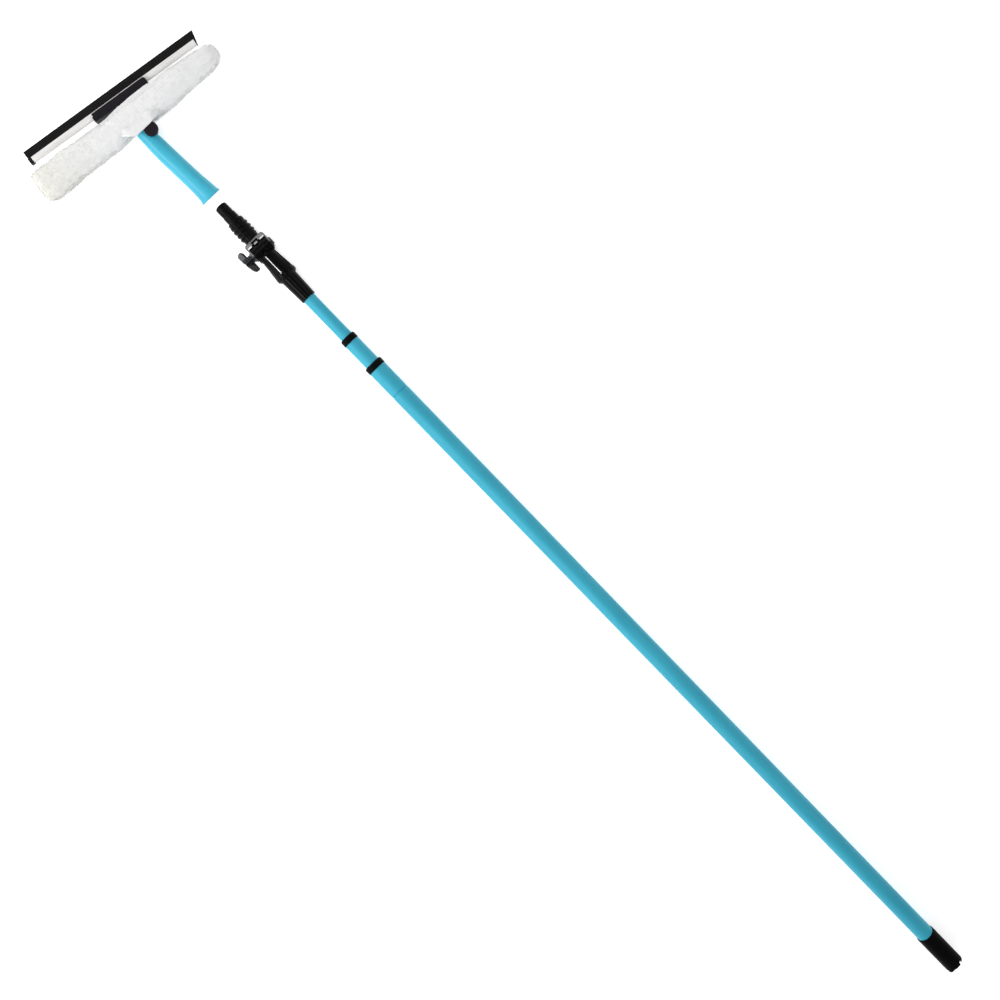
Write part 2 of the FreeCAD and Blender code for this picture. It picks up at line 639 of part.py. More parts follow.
def handle():
    """Moulded handle: flared socket mouth, waisted grip and a forked end for the swivel."""
    wires = []
    for i in range(HANDLE_SLICES + 1):
        x = MOUTH_FRONT + (HANDLE_END - MOUTH_FRONT) * (i / HANDLE_SLICES) ** 1.5
        wires.append(profile_wire(x, *section_at(max(x, MOUTH_X))))
    body = Part.makeLoft(wires, True, False)
    body = body.fuse(pivot_post(BOSS_R, -BUTTON_SEAT, BUTTON_SEAT))
    body = body.cut(mouth_waste())
    lead_r, lead_end = MOUTH_LEAD
    body = body.cut(Part.makeCone(lead_r, SOCKET_MOUTH_R, lead_end - MOUTH_FRONT,
                                  V(MOUTH_FRONT, 0, 0), X_AXIS))
    body = body.cut(rod(MOUTH_X, MOUTH_X + SOCKET_MOUTH_DEPTH, SOCKET_MOUTH_R))
    body = body.cut(rod(MOUTH_X, MOUTH_X + SOCKET_DEPTH, SOCKET_R))
    slot = block((PIVOT.x - FORK_BACK, HANDLE_END + 5), (-40, 40), (-FORK_GAP, FORK_GAP))
    body = body.cut(slot)
    body = body.cut(pivot_post(BUTTON_R + BUTTON_CLEARANCE, BUTTON_SEAT, 30))
    body = body.cut(pivot_post(SPRING_R + SPRING_CLEARANCE, SPRING_SEAT, 30))
    body = body.cut(pivot_post(PIN_R + RUNNING_GAP, 0, 30))
    body = body.cut(pivot_post(PIN_R, -30, 0))
    body = body.cut(pivot_post(PIN_HEAD_R, -30, -PIN_HEAD_Z[0]))
    return body.removeSplitter()


def pivot_pin():
    shoulder, face = PIN_HEAD_Z
    shank = pivot_post(PIN_R, -shoulder, PIN_TOP)
    head = pivot_post(PIN_HEAD_R, -face, -shoulder)
    return shank.fuse(head).removeSplitter()


def fork_washers():
    """Two thin washers between the fork's cheeks and the hub."""
    gap = (FORK_GAP + HUB_HALF_Z) / 2
    half = FORK_WASHER_T / 2
    rings = []
    for side in (-1, 1):
        ring = pivot_post(FORK_WASHER_R, side * gap - half, side * gap + half)
        rings.append(ring.cut(pivot_post(PIN_R + RUNNING_GAP, -20, 20)))
    return Part.makeCompound(rings)


def swivel_button():
    """Round push button over the pivot, with a stem that runs in the fork."""
    disc = pivot_post(BUTTON_R, BUTTON_BASE, BUTTON_TOP)
    disc = fillet_where(disc, BUTTON_ROUND, lambda e: abs(e.CenterOfMass.z - BUTTON_TOP) < 0.1)
    stem = pivot_post(PIN_R - RUNNING_GAP, STEM_END, BUTTON_BASE)
    return disc.fuse(stem).removeSplitter()


def button_spring():
    """Helical spring wound round the pivot's axis, from its seat to the button."""
    height = BUTTON_BASE - SPRING_SEAT - SPRING_WIRE
    helix = Part.makeHelix(height / SPRING_TURNS, height, SPRING_R - SPRING_WIRE / 2)
    start = helix.Vertexes[0].Point
    sides = 8
    corners = []
    for i in range(sides):
        angle = 2 * math.pi * i / sides
        corners.append(start + V(math.cos(angle), 0, math.sin(angle)) * (SPRING_WIRE / 2))
    section = Part.makePolygon(corners + [corners[0]])
    spring = Part.Wire(helix.Edges).makePipeShell([section], True, True)
    spring.translate(V(PIVOT.x, PIVOT.y, SPRING_SEAT + SPRING_WIRE / 2))
    return spring


# ---- head -------------------------------------------------------------------------------
def swivel_hub():
    """Tongue that turns in the handle's fork, and the plate that carries the T-bar."""
    disc = Part.makeCylinder(HUB_R, 2 * HUB_HALF_Z, V(0, 0, -HUB_HALF_Z), Z_AXIS)
    arm = block((0, BAR_U[0]), (-HUB_R, HUB_R), (-HUB_HALF_Z, HUB_HALF_Z))
    plate_u = BAR_U[0] - HUB_PLATE_T
    plate = block((plate_u, BAR_U[0]),
                  (SCREW_V[0] - HUB_PLATE_SIDE, SCREW_V[1] + HUB_PLATE_SIDE),
                  (-BAR_HALF_Z, BAR_HALF_Z))
    body = disc.fuse(arm).fuse(plate)
    body = body.cut(Part.makeCylinder(PIN_R + RUNNING_GAP, 20, V(0, 0, -10), Z_AXIS))
    body = body.cut(rod(plate_u - HUB_POCKET[0], plate_u, HUB_POCKET[1], y=SCREW_V[0]))
    for v in SCREW_V:
        body = body.cut(rod(plate_u - 5, BAR_U[0] + 5, SCREW_R + SCREW_CLEARANCE, y=v))
    return body.removeSplitter()


def water_slots():
    """Middles of the bar's water slots along v."""
    middles = []
    v = BAR_V[0] + WATER_SLOT_ENDS[0]
    while v < BAR_V[1] - WATER_SLOT_ENDS[1]:
        if abs(v - MIDDLE_V) > WATER_SLOT_FREE:
            middles.append(v)
        v += WATER_SLOT_PITCH
    return middles


def t_bar():
    """Bar inside the washer sleeve, with water slots."""
    bar = block(BAR_U, BAR_V, (-BAR_HALF_Z, BAR_HALF_Z))
    bar = fillet_where(bar, BAR_ROUND, lambda e: abs(e.Vertexes[0].Y - e.Vertexes[1].Y) > 50)
    middle_u = sum(BAR_U) / 2
    half_u, half_v = WATER_SLOT[0] / 2, WATER_SLOT[1] / 2
    for v in water_slots():
        bar = bar.cut(block((middle_u - half_u, middle_u + half_u), (v - half_v, v + half_v),
                            (-20, 20)))
    for v in SCREW_V:
        bar = bar.cut(rod(BAR_U[0] - 5, BAR_U[1] + 5, SCREW_R + SCREW_CLEARANCE, y=v))
    return bar


def t_bar_caps():
    """Rounded end caps of the T-bar."""
    caps = []
    for end_v, away in ((BAR_V[0], -1), (BAR_V[1], 1)):
        tip_v = end_v + away * BAR_CAP
        cap = block(BAR_U, (min(end_v, tip_v), max(end_v, tip_v)), (-BAR_HALF_Z, BAR_HALF_Z))
        cap = fillet_where(cap, BAR_CAP_ROUND, lambda e: stands_up(e)
                           and abs(e.Vertexes[0].Y - tip_v) < 0.1)
        caps.append(cap)
    return Part.makeCompound(caps)


def head_screws():
    """Two long screws: hub plate, T-bar, then the squeegee clip's arm."""
    screws = []
    for v in SCREW_V:
        under_head = BAR_U[0] - HUB_PLATE_T
        head = rod(under_head - SCREW_HEAD_T, under_head, SCREW_HEAD_R, y=v)
        shank = rod(under_head, SCREW_TIP_U, SCREW_R, y=v)
        screws.append(head.fuse(shank).removeSplitter())
    return Part.makeCompound(screws)


def sleeve_section(v, half_u, half_z, centre_u, steps=24):
    """Closed rounded-oval outline across the sleeve."""
    points = []
    for i in range(steps):
        angle = 2 * math.pi * i / steps
        points.append(V(centre_u + half_u * math.cos(angle), v, half_z * math.sin(angle)))
    curve = Part.BSplineCurve()
    curve.interpolate(points, PeriodicFlag=True)
    return Part.Wire(curve.toShape())


def washer_sleeve():
    """Soft pile sleeve: a rounded tube over the T-bar, open where the hub and clip enter."""
    centre_u = sum(SLEEVE_U) / 2
    half_u = centre_u - SLEEVE_U[0]
    low, high = SLEEVE_V
    stations = [(low + step, part) for step, part in SLEEVE_ENDS]
    stations += [(high - step, part) for step, part in reversed(SLEEVE_ENDS)]
    wires = [sleeve_section(v, half_u * part, FLARE_R * part, centre_u)
             for v, part in stations]
    body = Part.makeLoft(wires, True, True)
    near, far, end, half_z = SLEEVE_CAVITY
    cavity = block((BAR_U[0] - near, BAR_U[1] + far), (BAR_V[0] - end, BAR_V[1] + end),
                   (-half_z, half_z))
    near_slot = block((0, BAR_U[0]), (-HUB_R - 2, HUB_R + 2), (-BAR_HALF_Z, BAR_HALF_Z))
    arm = CLIP_ARM_V + 1
    far_slot = block((BAR_U[1], CHANNEL_U[0]), (MIDDLE_V - arm, MIDDLE_V + arm),
                     (-half_z, half_z))
    return body.cut(cavity).cut(near_slot).cut(far_slot)


def squeegee_clip():
    """Spring clip whose two jaws hold the channel, on an arm from the T-bar."""
    back_u = CHANNEL_U[0] - SLIDE_GAP
    jaw_z = CHANNEL_HALF_Z + SLIDE_GAP
    body = block(CLIP_U, CLIP_V, (-CLIP_HALF_Z, CLIP_HALF_Z))
    body = fillet_where(body, CLIP_ROUND, lambda e: stands_up(e) and e.Vertexes[0].Y < 0)
    mouth = block((back_u, CLIP_U[1] + 5), (2 * CLIP_V[0], 2 * CLIP_V[1]), (-jaw_z, jaw_z))
    step = block((CLIP_U[0], CLIP_U[0] + CLIP_STEP[0]), (CLIP_V[1] - 1, CLIP_V[1] + CLIP_STEP[1]),
                 (-CLIP_HALF_Z, CLIP_HALF_Z))
    arm = block((BAR_U[1], CLIP_U[0] + 1),
                (MIDDLE_V - CLIP_ARM_V, MIDDLE_V + CLIP_ARM_V), (-BAR_HALF_Z, BAR_HALF_Z))
    body = body.cut(mouth).fuse(step.cut(mouth)).fuse(arm)
    for v in SCREW_V:
        body = body.cut(rod(BAR_U[1] - 5, SCREW_TIP_U, SCREW_R, y=v))
    return body.removeSplitter()


def extrude_v(points, v0, v1):
    """Prism along v from an outline of (u, z) points."""
    corners = [V(u, v0, z) for u, z in points]
    face = Part.Face(Part.makePolygon(corners + [corners[0]]))
    return face.extrude(V(0, v1 - v0, 0))


def squeegee_channel():
    """Thin stainless channel with lips that close on the rubber's neck."""
    u0, u1 = CHANNEL_U
    h = CHANNEL_HALF_Z
    w = CHANNEL_WALL
    lip = CHANNEL_LIP
    corner = CHANNEL_CORNER
    start, end, depth = CHANNEL_GROOVE
    bevel = 0.2
    outside = [(u1, h), (u0 + end, h), (u0 + end - bevel, h - depth),
               (u0 + start + bevel, h - depth), (u0 + start, h), (u0 + corner, h),
               (u0, h - corner), (u0, corner - h), (u0 + corner, -h), (u1, -h)]
    inside = [(u1 - w, w - h), (u0 + 2 * w, w - h), (u0 + w, 2 * w - h),
              (u0 + w, h - 2 * w), (u0 + 2 * w, h - w), (u1 - w, h - w)]
    lips_low = [(u1, -lip), (u1 - w, -lip)]
    lips_high = [(u1 - w, lip), (u1, lip)]
    return extrude_v(outside + lips_low + inside + lips_high, *CHANNEL_V)


def mirrored(points):
    """An outline of (u, z) points with z above 0, closed by its mirror image below."""
    return points + [(u, -z) for u, z in reversed(points)]


def squeegee_rubber():
    """Rubber: bead inside the channel, neck between the lips, then the wiping blade."""
    bead_u = (CHANNEL_U[0] + 1.6, CHANNEL_U[1] - 1.6)
    root_u = CHANNEL_U[1] + LIP_CLEARANCE
    root_z, middle_z, edge_z = RUBBER_HALF_Z
    bead = mirrored([(bead_u[0], BEAD_HALF_Z - 0.8), (bead_u[0] + 0.8, BEAD_HALF_Z),
                     (bead_u[1], BEAD_HALF_Z)])
    neck = mirrored([(bead_u[1], RUBBER_NECK_Z), (root_u, RUBBER_NECK_Z)])
    blade = mirrored([(root_u, root_z), (RUBBER_MIDDLE_U, middle_z),
                      (RUBBER_EDGE_U - 1.2, edge_z), (RUBBER_EDGE_U, edge_z)])
    body = extrude_v(bead, *CHANNEL_V).fuse(extrude_v(neck, *CHANNEL_V))
    body = body.fuse(extrude_v(blade, *RUBBER_V))
    return body.cut(slanted_waste()).removeSplitter()


def slanted_waste():
    """What is cut off beyond the slanted end of the rubber."""
    root_u = CHANNEL_U[1] + LIP_CLEARANCE
    slope = (RUBBER_V[0] - RUBBER_ROOT_V) / (RUBBER_EDGE_U - root_u)
    u0, u1 = CHANNEL_U[0] - 5, RUBBER_EDGE_U + 5
    v0, v1 = [RUBBER_ROOT_V + slope * (u - root_u) for u in (u0, u1)]
    corners = [V(u0, v0, -CAP_R), V(u1, v1, -CAP_R), V(u1, v1 - 30, -CAP_R), V(u0, v0 - 30, -CAP_R)]
    return Part.Face(Part.makePolygon(corners + [corners[0]])).extrude(V(0, 0, 2 * CAP_R))


def channel_ends():
    """Plastic blocks that close both ends of the channel under the rubber."""
    us = (CHANNEL_U[0] - END_BLOCK_LAP[0], CHANNEL_U[1] + END_BLOCK_LAP[1])
    hs = (-CHANNEL_HALF_Z, CHANNEL_HALF_Z)
    low = block(us, (CHANNEL_V[0] - END_BLOCK_T[0], CHANNEL_V[0]), hs).cut(slanted_waste())
    high = block(us, (CHANNEL_V[1], CHANNEL_V[1] + END_BLOCK_T[1]), hs)
    return Part.makeCompound([low, high])


# ---- the whole object -------------------------------------------------------------------
def build():
    """Every sub-part in the pole's working frame, by node name."""
    lower = TwistLock("middle", "main")
    upper = TwistLock("inner", "middle")
    shapes = {
        "main_tube": pole_tube("main"),
        "main_collar": collar("main", "middle"),
        "butt_cap": butt_cap(),
        "butt_plug": butt_plug(),
        "middle_tube": pole_tube("middle"),
        "middle_collar": collar("middle", "inner"),
        "inner_tube": pole_tube("inner").cut(ferrule_screw_hole()),
        "adapter_body": adapter_body().cut(ferrule_screw_hole()),
        "ferrule_screw": ferrule_screw(),
        "yoke": yoke(),
        "yoke_rivet": yoke_rivet(),
        "screw_tip": screw_tip(),
        "hinge_bolt": hinge_bolt(),
        "clamp_washer": clamp_washer(),
        "wing_nut": wing_nut(),
        "handle": handle(),
        "pivot_pin": pivot_pin(),
        "fork_washers": fork_washers(),
        "swivel_button": swivel_button(),
        "button_spring": button_spring(),
        "swivel_hub": head_place(swivel_hub()),
        "t_bar": head_place(t_bar()),
        "t_bar_caps": head_place(t_bar_caps()),
        "head_screws": head_place(head_screws()),
        "washer_sleeve": head_place(washer_sleeve()),
        "squeegee_clip": head_place(squeegee_clip()),
        "squeegee_channel": head_place(squeegee_channel()),
        "squeegee_rubber": head_place(squeegee_rubber()),
        "channel_ends": head_place(channel_ends()),
    }
    for side, lock in (("lower", lower), ("upper", upper)):
        shapes[side + "_lock_plug"] = lock.plug()
        shapes[side + "_lock_screw"] = lock.screw()
        shapes[side + "_lock_cone"] = lock.cone()
        shapes[side + "_lock_sleeve"] = lock.sleeve()
        shapes[side + "_lock_ring"] = lock.ring()
    return shapes


def floor_offset(shapes):
    """Move that puts the origin under the middle of the whole object, on the floor."""
    box = FreeCAD.BoundBox()
    for shape in shapes.values():
        box.add(shape.optimalBoundingBox(True, False))
    return V(-(box.XMin + box.XMax) / 2, -(box.YMin + box.YMax) / 2, -box.ZMin)


def make_all():
    shapes = build()
    offset = floor_offset(shapes)
    for shape in shapes.values():
        shape.translate(offset)
    return shapes, offset


def main():
    os.makedirs("parts", exist_ok=True)
    shapes, offset = make_all()
    for name, shape in shapes.items():
        if not shape.isValid():
            print("not valid:", name)
        shape.exportStep("parts/" + name + ".step")
    print("nodes:", len(shapes), "offset:", offset)


if __name__ == "__main__":
    main()
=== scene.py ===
import json
import math
import random

import bmesh
import bpy
import numpy as np
from mathutils import Matrix, Vector, noise


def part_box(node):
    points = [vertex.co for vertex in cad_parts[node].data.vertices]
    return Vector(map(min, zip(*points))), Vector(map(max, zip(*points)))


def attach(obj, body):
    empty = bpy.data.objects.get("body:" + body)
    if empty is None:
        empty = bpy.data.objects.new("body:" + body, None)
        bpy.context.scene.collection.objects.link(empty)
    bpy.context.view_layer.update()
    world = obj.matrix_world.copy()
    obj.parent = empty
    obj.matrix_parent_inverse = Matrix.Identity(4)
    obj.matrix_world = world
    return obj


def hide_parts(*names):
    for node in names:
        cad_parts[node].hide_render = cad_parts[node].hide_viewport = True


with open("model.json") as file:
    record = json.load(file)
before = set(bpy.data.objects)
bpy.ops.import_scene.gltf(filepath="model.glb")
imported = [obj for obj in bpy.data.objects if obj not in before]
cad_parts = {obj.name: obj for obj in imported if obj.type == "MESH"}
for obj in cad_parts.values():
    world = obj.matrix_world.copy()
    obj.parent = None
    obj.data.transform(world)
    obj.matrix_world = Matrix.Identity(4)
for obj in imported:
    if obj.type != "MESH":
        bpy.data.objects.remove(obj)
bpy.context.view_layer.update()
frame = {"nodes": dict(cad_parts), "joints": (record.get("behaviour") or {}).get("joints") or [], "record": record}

NODES = frame["nodes"]
JOINTS = {joint["name"]: joint for joint in frame["joints"]}
MM = 0.001

# The pole's axis, its butt, the swivel and the head's own axes (u across the blade, v along it)
AXIS_Y, AXIS_Z = JOINTS["lower_twist"]["pos_m"][1:3]
BUTT_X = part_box("butt_cap")[0].x
PIVOT = Vector(JOINTS["head_swivel"]["pos_m"])
HEAD_V = Vector(JOINTS["channel_slide"]["axis"]).normalized()
HEAD_U = Vector((HEAD_V.y, -HEAD_V.x, 0.0))
UP = Vector((0.0, 0.0, 1.0))


def head_point(u, v, z):
    """Point of the head, from millimetres across and along the blade and above the axis."""
    return PIVOT + (HEAD_U * u + HEAD_V * v + UP * z) * MM


# ---- camera, floor and light --------------------------------------------------------------
def make_camera():
    """Looks down on the lying pole, leaning a little so that the butt is further away."""
    sensor = 36.0
    focal = 1.1                # lens beside the sensor's width
    lean = math.radians(7.0)
    pole_slope = math.radians(45.87)
    distance = 1.958
    aim_from_butt = 1.2531
    aside = 0.0063
    aim = Vector((BUTT_X + aim_from_butt, AXIS_Y, AXIS_Z))
    to_butt = Vector((-math.cos(lean), 0.0, math.sin(lean)))
    to_right_hand = Vector((0.0, -1.0, 0.0))
    back = Vector((math.sin(lean), 0.0, math.cos(lean)))
    right = to_butt * math.cos(pole_slope) + to_right_hand * math.sin(pole_slope)
    up = to_right_hand * math.cos(pole_slope) - to_butt * math.sin(pole_slope)
    place = aim + back * distance - to_right_hand * aside
    data = bpy.data.cameras.new("camera")
    data.sensor_width = sensor
    data.lens = sensor * focal
    camera = bpy.data.objects.new("camera", data)
    turn = Matrix((right, up, back)).transposed().to_4x4()
    camera.matrix_world = Matrix.Translation(place) @ turn
    bpy.context.scene.collection.objects.link(camera)
    bpy.context.scene.camera = camera


def area_light(name, place, target, size, power):
    data = bpy.data.lights.new(name, "AREA")
    data.shape = "RECTANGLE"
    data.size, data.size_y = size
    data.energy = power
    light = bpy.data.objects.new(name, data)
    light.location = place
    direction = Vector(target) - Vector(place)
    light.rotation_euler = direction.to_track_quat("-Z", "Y").to_euler()
    bpy.context.scene.collection.objects.link(light)


def make_light():
    """Dim overhead, brighter walls, and long soft boxes either side of the pole."""
    world = bpy.data.worlds.new("studio")
    world.use_nodes = True
    tree = world.node_tree
    direction = tree.nodes.new("ShaderNodeTexCoord").outputs["Generated"]
    height = tree.nodes.new("ShaderNodeSeparateXYZ")
    tree.links.new(direction, height.inputs["Vector"])
    shade = tree.nodes.new("ShaderNodeValToRGB")
    for element, (place, grey) in zip(shade.color_ramp.elements, ((0.1, 0.85), (0.85, 0.28))):
        element.position = place
        element.color = (grey, grey, grey, 1.0)
    tree.links.new(height.outputs["Z"], shade.inputs["Fac"])
    tree.links.new(shade.outputs["Color"], tree.nodes["Background"].inputs["Color"])
    bpy.context.scene.world = world
    area_light("key", (0.7, 2.0, 1.5), (0.4, 0.0, 0.0), (3.6, 0.8), 66.0)
    area_light("end", (2.9, 0.4, 1.1), (0.6, 0.0, 0.0), (1.0, 1.0), 12.0)
    area_light("top", (1.0, 0.15, 1.8), (0.95, 0.0, 0.0), (0.5, 0.3), 4.0)
    area_light("fill", (-0.1, -1.9, 1.9), (0.0, 0.0, 0.0), (3.6, 1.3), 22.0)
    bpy.context.scene.view_settings.view_transform = "Standard"


def make_floor():
    bpy.ops.mesh.primitive_plane_add(size=14.0, location=(0.0, 0.0, 0.0))
    floor = bpy.context.object
    floor.name = "floor"
    kit = Shader("floor_white")
    tone = kit.noise(3.0, detail=2.0)
    kit.link(kit.ramp(tone, ((0.3, (0.90, 0.90, 0.90)), (0.7, (0.92, 0.92, 0.92)))),
             kit.bsdf.inputs["Base Color"])
    kit.bsdf.inputs["Roughness"].default_value = 0.9
    kit.bsdf.inputs["Specular IOR Level"].default_value = 0.1
    kit.bsdf.inputs["Emission Color"].default_value = (1.0, 1.0, 1.0, 1.0)
    kit.bsdf.inputs["Emission Strength"].default_value = 0.50
    floor.data.materials.append(kit.material)


# ---- materials ----------------------------------------------------------------------------
class Shader:
    """A Principled material with short ways to add textures in metres of the object."""

    def __init__(self, name):
        self.material = bpy.data.materials.new(name)
        self.material.use_nodes = True
        self.tree = self.material.node_tree
        self.bsdf = self.tree.nodes["Principled BSDF"]
        self.place = self.tree.nodes.new("ShaderNodeTexCoord").outputs["Object"]

    def node(self, kind, **settings):
        made = self.tree.nodes.new(kind)
        for key, value in settings.items():
            setattr(made, key, value)
        return made

    def link(self, source, target):
        self.tree.links.new(source, target)

    def stretched(self, scale, turn=0.0):
        """Object coordinates scaled by a triple, turned about Z first."""
        mapping = self.node("ShaderNodeMapping")
        if turn:
            rotate = self.node("ShaderNodeMapping")
            rotate.inputs["Rotation"].default_value = (0.0, 0.0, turn)
            self.link(self.place, rotate.inputs["Vector"])
            self.link(rotate.outputs["Vector"], mapping.inputs["Vector"])
        else:
            self.link(self.place, mapping.inputs["Vector"])
        mapping.inputs["Scale"].default_value = scale
        return mapping.outputs["Vector"]

    def noise(self, scale, detail=3.0, roughness=0.5, where=None):
        texture = self.node("ShaderNodeTexNoise")
        texture.inputs["Scale"].default_value = scale
        texture.inputs["Detail"].default_value = detail
        texture.inputs["Roughness"].default_value = roughness
        self.link(where or self.place, texture.inputs["Vector"])
        return texture.outputs["Fac"]

    def cells(self, scale, where=None):
        texture = self.node("ShaderNodeTexVoronoi")
        texture.inputs["Scale"].default_value = scale
        self.link(where or self.place, texture.inputs["Vector"])
        return texture.outputs["Distance"]

    def ramp(self, value, stops):
        made = self.node("ShaderNodeValToRGB")
        elements = made.color_ramp.elements
        while len(elements) < len(stops):
            elements.new(0.5)
        for element, (position, colour) in zip(elements, stops):
            element.position = position
            element.color = (*colour, 1.0)
        self.link(value, made.inputs["Fac"])
        return made.outputs["Color"]

    def span(self, value, low, high, start=0.0, end=1.0):
        """The value's part from start to end, spread over low to high."""
        made = self.node("ShaderNodeMapRange")
        made.inputs["From Min"].default_value = start
        made.inputs["From Max"].default_value = end
        made.inputs["To Min"].default_value = low
        made.inputs["To Max"].default_value = high
        self.link(value, made.inputs["Value"])
        return made.outputs["Result"]

    def mix(self, factor, first, second):
        """Colour blend; first and second are colours or sockets."""
        made = self.node("ShaderNodeMix", data_type="RGBA")
        for socket, value in ((made.inputs[0], factor), (made.inputs[6], first),
                              (made.inputs[7], second)):
            if isinstance(value, (tuple, float)):
                socket.default_value = value if isinstance(value, float) else (*value, 1.0)
            else:
                self.link(value, socket)
        return made.outputs[2]

    def bump(self, height, depth, strength=1.0, under=None):
        made = self.node("ShaderNodeBump")
        made.inputs["Distance"].default_value = depth
        made.inputs["Strength"].default_value = strength
        self.link(height, made.inputs["Height"])
        if under:
            self.link(under, made.inputs["Normal"])
        return made.outputs["Normal"]

    def finish(self, colour, roughness, normal=None, metallic=0.0, coat=0.0, shine=0.5):
        self.link(colour, self.bsdf.inputs["Base Color"])
        if isinstance(roughness, float):
            self.bsdf.inputs["Roughness"].default_value = roughness
        else:
            self.link(roughness, self.bsdf.inputs["Roughness"])
        if normal:
            self.link(normal, self.bsdf.inputs["Normal"])
        self.bsdf.inputs["Metallic"].default_value = metallic
        self.bsdf.inputs["Coat Weight"].default_value = coat
        self.bsdf.inputs["Specular IOR Level"].default_value = shine
        return self.material


def teal_tube():
    """Satin anodised tube: drawn lines along X, cloudy tone and faint rubbing marks."""
    kit = Shader("tube_teal_finish")
    lines = kit.noise(1.0, detail=6.0, where=kit.stretched((6.0, 1500.0, 1500.0)))
    cloud = kit.noise(1.0, detail=3.0, where=kit.stretched((7.0, 60.0, 60.0)))
    rubs = kit.noise(1.0, detail=8.0, roughness=0.7, where=kit.stretched((40.0, 260.0, 260.0)))
    base = kit.ramp(cloud, ((0.25, (0.018, 0.285, 0.400)), (0.75, (0.030, 0.345, 0.470))))
    worn = kit.span(rubs, 0.0, 0.35, 0.62, 0.80)
    colour = kit.mix(worn, base, (0.16, 0.46, 0.55))
    rough = kit.span(lines, 0.52, 0.66, 0.3, 0.7)
    normal = kit.bump(lines, 0.00004, 0.5)
    return kit.finish(colour, rough, normal, metallic=0.12, shine=0.4)


def teal_plastic():
    """Glossy moulded plastic of the handle with a soft flow pattern and fine grain."""
    kit = Shader("handle_teal_finish")
    flow = kit.noise(1.0, detail=4.0, where=kit.stretched((18.0, 70.0, 70.0)))
    grain = kit.noise(2400.0, detail=2.0)
    scuff = kit.noise(1.0, detail=9.0, roughness=0.75, where=kit.stretched((160.0, 420.0, 420.0)))
    base = kit.ramp(flow, ((0.3, (0.028, 0.335, 0.470)), (0.7, (0.042, 0.410, 0.550))))
    colour = kit.mix(kit.span(scuff, 0.0, 0.3, 0.64, 0.8), base, (0.14, 0.47, 0.60))
    rough = kit.span(scuff, 0.34, 0.46, 0.35, 0.7)
    normal = kit.bump(grain, 0.00003, 0.35)
    kit.bsdf.inputs["Subsurface Weight"].default_value = 0.04
    kit.bsdf.inputs["Subsurface Radius"].default_value = (0.002, 0.004, 0.005)
    return kit.finish(colour, rough, normal, shine=0.4)


def black_plastic(name, tone, rough_low, rough_high, shine=0.06):
    """Moulded black plastic: pebbled grain, dusty tone changes and paler rubbed edges."""
    kit = Shader(name + "_finish")
    grain = kit.cells(1600.0)
    cloud = kit.noise(55.0, detail=5.0, roughness=0.6)
    scuff = kit.noise(420.0, detail=8.0, roughness=0.75)
    edge = kit.node("ShaderNodeNewGeometry").outputs["Pointiness"]
    base = kit.ramp(cloud, ((0.3, tuple(0.6 * part for part in tone)), (0.75, tone)))
    rubbed = tuple(2.0 * part + 0.002 for part in tone)
    colour = kit.mix(kit.span(edge, 0.0, 0.55, 0.53, 0.62), base, rubbed)
    colour = kit.mix(kit.span(scuff, 0.0, 0.4, 0.62, 0.8), colour, rubbed)
    rough = kit.span(cloud, rough_low, rough_high, 0.3, 0.7)
    normal = kit.bump(grain, 0.00005, 0.4)
    return kit.finish(colour, rough, normal, shine=shine)


def plated_steel(name, tone, rough):
    """Bright plated steel with a grain and small dull spots."""
    kit = Shader(name)
    spots = kit.noise(900.0, detail=5.0, roughness=0.65)
    cloud = kit.noise(120.0, detail=3.0)
    low = (tone * 0.82, tone * 0.84, tone * 0.88)
    high = (min(1.0, tone * 1.18), min(1.0, tone * 1.19), min(1.0, tone * 1.22))
    colour = kit.ramp(cloud, ((0.3, low), (0.7, high)))
    roughness = kit.span(spots, rough, rough + 0.16, 0.35, 0.7)
    return kit.finish(colour, roughness, kit.bump(spots, 0.00003, 0.3), metallic=1.0)


def stainless():
    """Brushed stainless: long scratches along the channel."""
    kit = Shader("stainless_finish")
    turn = math.atan2(HEAD_V.x, HEAD_V.y)
    where = kit.stretched((2600.0, 14.0, 2600.0), turn)
    lines = kit.noise(1.0, detail=6.0, roughness=0.6, where=where)
    cloud = kit.noise(30.0, detail=2.0)
    colour = kit.ramp(lines, ((0.3, (0.58, 0.57, 0.56)), (0.7, (0.84, 0.83, 0.82))))
    colour = kit.mix(kit.span(cloud, 0.0, 0.2, 0.4, 0.8), colour, (0.76, 0.75, 0.74))
    rough = kit.span(lines, 0.22, 0.40, 0.3, 0.7)
    return kit.finish(colour, rough, kit.bump(lines, 0.00003, 0.5), metallic=0.2)


def rubber():
    """Matt rubber with talc-like dust and a paler working edge."""
    kit = Shader("rubber_finish")
    dust = kit.noise(700.0, detail=7.0, roughness=0.7)
    cloud = kit.noise(40.0, detail=3.0)
    base = kit.ramp(cloud, ((0.3, (0.003, 0.003, 0.003)), (0.7, (0.006, 0.006, 0.006))))
    colour = kit.mix(kit.span(dust, 0.0, 0.3, 0.6, 0.85), base, (0.02, 0.02, 0.021))
    return kit.finish(colour, kit.span(dust, 0.5, 0.72), kit.bump(dust, 0.00004, 0.4),
                      shine=0.1)


def nylon():
    kit = Shader("nylon_finish")
    cloud = kit.noise(60.0, detail=4.0)
    colour = kit.ramp(cloud, ((0.3, (0.62, 0.60, 0.55)), (0.7, (0.74, 0.72, 0.67))))
    return kit.finish(colour, 0.45, kit.bump(kit.noise(1500.0), 0.00003, 0.3))


